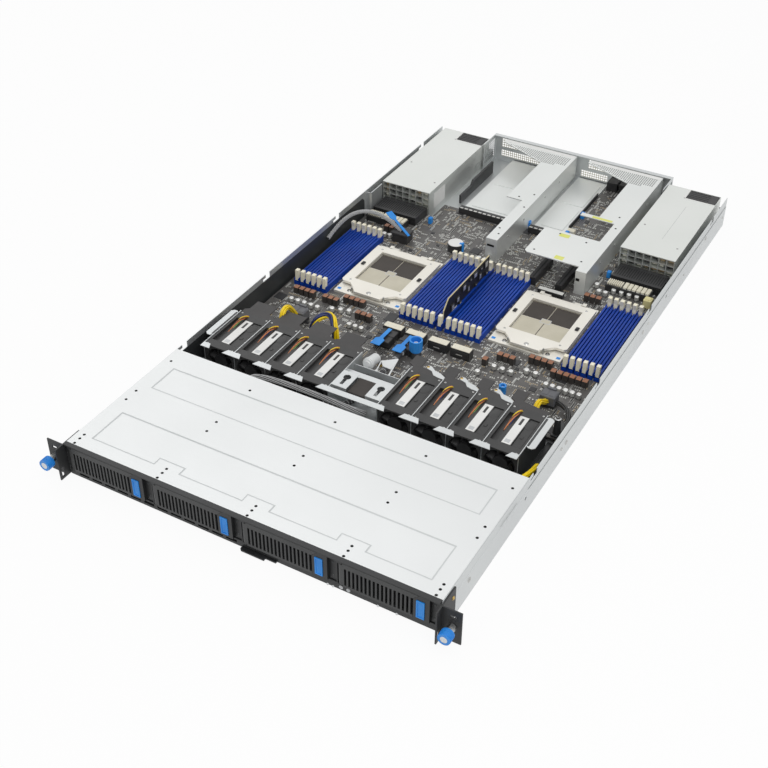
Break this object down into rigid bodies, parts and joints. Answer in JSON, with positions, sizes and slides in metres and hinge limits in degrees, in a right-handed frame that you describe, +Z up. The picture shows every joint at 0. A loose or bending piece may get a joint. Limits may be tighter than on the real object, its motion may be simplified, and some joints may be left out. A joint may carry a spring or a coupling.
{
  "type": "rack server",
  "caption": "Slim open-top rack server: grille-fronted drive carriers, fan row, hinged processor frames, latched memory sockets, lift-out risers and slide-out power supplies.",
  "frame": {"origin": "middle of the tray's underside, half way along its width and depth", "axes": "+X to the right seen from the front, +Y to the rear, +Z up"},
  "size_m": [0.4826, 0.8863, 0.0436],
  "materials": {
    "galvanised_steel": "satin zinc coating",
    "black_paint": "satin powder coat",
    "supply_case": "satin",
    "black_plastic": "fine texture",
    "blue_plastic": "satin",
    "button_plastic": "smooth",
    "tag_plastic": "smooth",
    "circuit_board": "solder mask",
    "socket_metal": "satin",
    "memory_blue": "smooth",
    "latch_cream": "smooth",
    "latch_blue": "smooth",
    "lead_sleeve": "soft sleeve"
  },
  "bodies": {
    "chassis": {"chassis_tray": "galvanised_steel", "rear_panel": "galvanised_steel", "front_cover": "galvanised_steel", "drive_cage": "galvanised_steel", "fan_bracket": "galvanised_steel", "card_trays": "galvanised_steel", "left_ear": "black_paint", "right_ear": "black_paint", "front_frame": "black_plastic", "fan_frames": "black_plastic", "air_shield": "black_plastic", "power_chokes": "black_plastic", "board_connectors": "black_plastic", "main_board": "circuit_board", "front_boards": "circuit_board", "centre_card": "circuit_board", "processor_sockets": "socket_metal", "memory_slots": "memory_blue", "internal_cables": "lead_sleeve"},
    "drive_carrier_1": {"drive_carrier_1": "black_plastic"},
    "carrier_lever_1": {"carrier_lever_1": "black_plastic"},
    "release_button_1": {"release_button_1": "blue_plastic"},
    "drive_carrier_2": {"drive_carrier_2": "black_plastic"},
    "carrier_lever_2": {"carrier_lever_2": "black_plastic"},
    "release_button_2": {"release_button_2": "blue_plastic"},
    "drive_carrier_3": {"drive_carrier_3": "black_plastic"},
    "carrier_lever_3": {"carrier_lever_3": "black_plastic"},
    "release_button_3": {"release_button_3": "blue_plastic"},
    "drive_carrier_4": {"drive_carrier_4": "black_plastic"},
    "carrier_lever_4": {"carrier_lever_4": "black_plastic"},
    "release_button_4": {"release_button_4": "blue_plastic"},
    "left_thumbscrew": {"left_thumbscrew": "blue_plastic"},
    "right_thumbscrew": {"right_thumbscrew": "blue_plastic"},
    "power_button": {"power_button": "button_plastic"},
    "locate_button": {"locate_button": "button_plastic"},
    "asset_tag": {"asset_tag": "tag_plastic"},
    "fan_rotor_1": {"fan_rotor_1": "black_plastic"},
    "fan_rotor_2": {"fan_rotor_2": "black_plastic"},
    "fan_rotor_3": {"fan_rotor_3": "black_plastic"},
    "fan_rotor_4": {"fan_rotor_4": "black_plastic"},
    "fan_rotor_5": {"fan_rotor_5": "black_plastic"},
    "fan_rotor_6": {"fan_rotor_6": "black_plastic"},
    "fan_rotor_7": {"fan_rotor_7": "black_plastic"},
    "fan_rotor_8": {"fan_rotor_8": "black_plastic"},
    "load_frame_left": {"load_frame_left": "socket_metal"},
    "load_frame_right": {"load_frame_right": "socket_metal"},
    "memory_latches_front_left": {"memory_latches_front_left": "latch_cream"},
    "memory_latches_rear_left": {"memory_latches_rear_left": "latch_cream"},
    "memory_latches_front_right": {"memory_latches_front_right": "latch_cream"},
    "memory_latches_rear_right": {"memory_latches_rear_right": "latch_cream"},
    "big_knob": {"big_knob": "blue_plastic"},
    "small_knob": {"small_knob": "blue_plastic"},
    "psu_left": {"psu_left": "supply_case"},
    "psu_left_latch": {"psu_left_latch": "latch_blue"},
    "psu_left_rotor": {"psu_left_rotor": "black_plastic"},
    "psu_right": {"psu_right": "supply_case"},
    "psu_right_latch": {"psu_right_latch": "latch_blue"},
    "psu_right_rotor": {"psu_right_rotor": "black_plastic"},
    "left_riser": {"left_riser": "galvanised_steel"},
    "right_riser": {"right_riser": "galvanised_steel"}
  },
  "joints": [
    {"name": "carrier_slide_1", "type": "slide", "parent": "chassis", "child": "drive_carrier_1", "axis": [0, -1, 0], "range_m": [0, 0.15]},
    {"name": "lever_hinge_1", "type": "hinge", "parent": "drive_carrier_1", "child": "carrier_lever_1", "pos_m": [-0.2119, -0.42235, 0.026], "axis": [0, 0, -1], "range_deg": [0, 80]},
    {"name": "button_press_1", "type": "slide", "parent": "drive_carrier_1", "child": "release_button_1", "axis": [0, 1, 0], "range_m": [0, 0.002], "stiffness_N_per_m": 400},
    {"name": "carrier_slide_2", "type": "slide", "parent": "chassis", "child": "drive_carrier_2", "axis": [0, -1, 0], "range_m": [0, 0.15]},
    {"name": "lever_hinge_2", "type": "hinge", "parent": "drive_carrier_2", "child": "carrier_lever_2", "pos_m": [-0.1033, -0.42235, 0.026], "axis": [0, 0, -1], "range_deg": [0, 80]},
    {"name": "button_press_2", "type": "slide", "parent": "drive_carrier_2", "child": "release_button_2", "axis": [0, 1, 0], "range_m": [0, 0.002], "stiffness_N_per_m": 400},
    {"name": "carrier_slide_3", "type": "slide", "parent": "chassis", "child": "drive_carrier_3", "axis": [0, -1, 0], "range_m": [0, 0.15]},
    {"name": "lever_hinge_3", "type": "hinge", "parent": "drive_carrier_3", "child": "carrier_lever_3", "pos_m": [0.0053, -0.42235, 0.026], "axis": [0, 0, -1], "range_deg": [0, 80]},
    {"name": "button_press_3", "type": "slide", "parent": "drive_carrier_3", "child": "release_button_3", "axis": [0, 1, 0], "range_m": [0, 0.002], "stiffness_N_per_m": 400},
    {"name": "carrier_slide_4", "type": "slide", "parent": "chassis", "child": "drive_carrier_4", "axis": [0, -1, 0], "range_m": [0, 0.15]},
    {"name": "lever_hinge_4", "type": "hinge", "parent": "drive_carrier_4", "child": "carrier_lever_4", "pos_m": [0.1139, -0.42235, 0.026], "axis": [0, 0, -1], "range_deg": [0, 80]},
    {"name": "button_press_4", "type": "slide", "parent": "drive_carrier_4", "child": "release_button_4", "axis": [0, 1, 0], "range_m": [0, 0.002], "stiffness_N_per_m": 400},
    {"name": "left_screw_turn", "type": "hinge", "parent": "chassis", "child": "left_thumbscrew", "pos_m": [-0.23255, -0.42465, 0.0218], "axis": [0, 1, 0], "continuous": true},
    {"name": "right_screw_turn", "type": "hinge", "parent": "chassis", "child": "right_thumbscrew", "pos_m": [0.23255, -0.42465, 0.0218], "axis": [0, 1, 0], "continuous": true},
    {"name": "power_press", "type": "slide", "parent": "chassis", "child": "power_button", "axis": [0, 1, 0], "range_m": [0, 0.001], "stiffness_N_per_m": 300},
    {"name": "locate_press", "type": "slide", "parent": "chassis", "child": "locate_button", "axis": [0, 1, 0], "range_m": [0, 0.001], "stiffness_N_per_m": 300},
    {"name": "tag_slide", "type": "slide", "parent": "chassis", "child": "asset_tag", "axis": [0, -1, 0], "range_m": [0, 0.03]},
    {"name": "fan_spin_1", "type": "hinge", "parent": "chassis", "child": "fan_rotor_1", "pos_m": [-0.1803, -0.195, 0.0215], "axis": [0, 1, 0], "continuous": true},
    {"name": "fan_spin_2", "type": "hinge", "parent": "chassis", "child": "fan_rotor_2", "pos_m": [-0.1385, -0.195, 0.0215], "axis": [0, 1, 0], "continuous": true},
    {"name": "fan_spin_3", "type": "hinge", "parent": "chassis", "child": "fan_rotor_3", "pos_m": [-0.0967, -0.195, 0.0215], "axis": [0, 1, 0], "continuous": true},
    {"name": "fan_spin_4", "type": "hinge", "parent": "chassis", "child": "fan_rotor_4", "pos_m": [-0.0549, -0.195, 0.0215], "axis": [0, 1, 0], "continuous": true},
    {"name": "fan_spin_5", "type": "hinge", "parent": "chassis", "child": "fan_rotor_5", "pos_m": [0.0489, -0.195, 0.0215], "axis": [0, 1, 0], "continuous": true},
    {"name": "fan_spin_6", "type": "hinge", "parent": "chassis", "child": "fan_rotor_6", "pos_m": [0.0907, -0.195, 0.0215], "axis": [0, 1, 0], "continuous": true},
    {"name": "fan_spin_7", "type": "hinge", "parent": "chassis", "child": "fan_rotor_7", "pos_m": [0.1325, -0.195, 0.0215], "axis": [0, 1, 0], "continuous": true},
    {"name": "fan_spin_8", "type": "hinge", "parent": "chassis", "child": "fan_rotor_8", "pos_m": [0.1743, -0.195, 0.0215], "axis": [0, 1, 0], "continuous": true},
    {"name": "load_frame_hinge_left", "type": "hinge", "parent": "chassis", "child": "load_frame_left", "pos_m": [-0.108, 0.11975, 0.0134], "axis": [-1, 0, 0], "range_deg": [0, 100]},
    {"name": "load_frame_hinge_right", "type": "hinge", "parent": "chassis", "child": "load_frame_right", "pos_m": [0.108, 0.11975, 0.0134], "axis": [-1, 0, 0], "range_deg": [0, 100]},
    {"name": "latch_turn_front_left", "type": "hinge", "parent": "chassis", "child": "memory_latches_front_left", "pos_m": [0, -0.00425, 0.0145], "axis": [1, 0, 0], "range_deg": [0, 30]},
    {"name": "latch_turn_rear_left", "type": "hinge", "parent": "chassis", "child": "memory_latches_rear_left", "pos_m": [0, 0.13475, 0.0145], "axis": [-1, 0, 0], "range_deg": [0, 30]},
    {"name": "latch_turn_front_right", "type": "hinge", "parent": "chassis", "child": "memory_latches_front_right", "pos_m": [0, -0.00425, 0.0145], "axis": [1, 0, 0], "range_deg": [0, 30]},
    {"name": "latch_turn_rear_right", "type": "hinge", "parent": "chassis", "child": "memory_latches_rear_right", "pos_m": [0, 0.13475, 0.0145], "axis": [-1, 0, 0], "range_deg": [0, 30]},
    {"name": "big_knob_turn", "type": "hinge", "parent": "chassis", "child": "big_knob", "pos_m": [0.002, -0.06925, 0.02], "axis": [0, 0, 1], "continuous": true},
    {"name": "small_knob_turn", "type": "hinge", "parent": "chassis", "child": "small_knob", "pos_m": [0.124, -0.09125, 0.02], "axis": [0, 0, 1], "continuous": true},
    {"name": "psu_slide_left", "type": "slide", "parent": "chassis", "child": "psu_left", "axis": [0, 1, 0], "range_m": [0, 0.2]},
    {"name": "psu_latch_press_left", "type": "slide", "parent": "psu_left", "child": "psu_left_latch", "axis": [-1, 0, 0], "range_m": [0, 0.002], "stiffness_N_per_m": 600},
    {"name": "psu_fan_spin_left", "type": "hinge", "parent": "psu_left", "child": "psu_left_rotor", "pos_m": [-0.165, 0.40725, 0.0212], "axis": [0, 1, 0], "continuous": true},
    {"name": "psu_slide_right", "type": "slide", "parent": "chassis", "child": "psu_right", "axis": [0, 1, 0], "range_m": [0, 0.2]},
    {"name": "psu_latch_press_right", "type": "slide", "parent": "psu_right", "child": "psu_right_latch", "axis": [-1, 0, 0], "range_m": [0, 0.002], "stiffness_N_per_m": 600},
    {"name": "psu_fan_spin_right", "type": "hinge", "parent": "psu_right", "child": "psu_right_rotor", "pos_m": [0.1865, 0.40725, 0.0212], "axis": [0, 1, 0], "continuous": true},
    {"name": "left_riser_lift", "type": "slide", "parent": "chassis", "child": "left_riser", "axis": [0, 0, 1], "range_m": [0, 0.045]},
    {"name": "right_riser_lift", "type": "slide", "parent": "chassis", "child": "right_riser", "axis": [0, 0, 1], "range_m": [0, 0.045]}
  ]
}
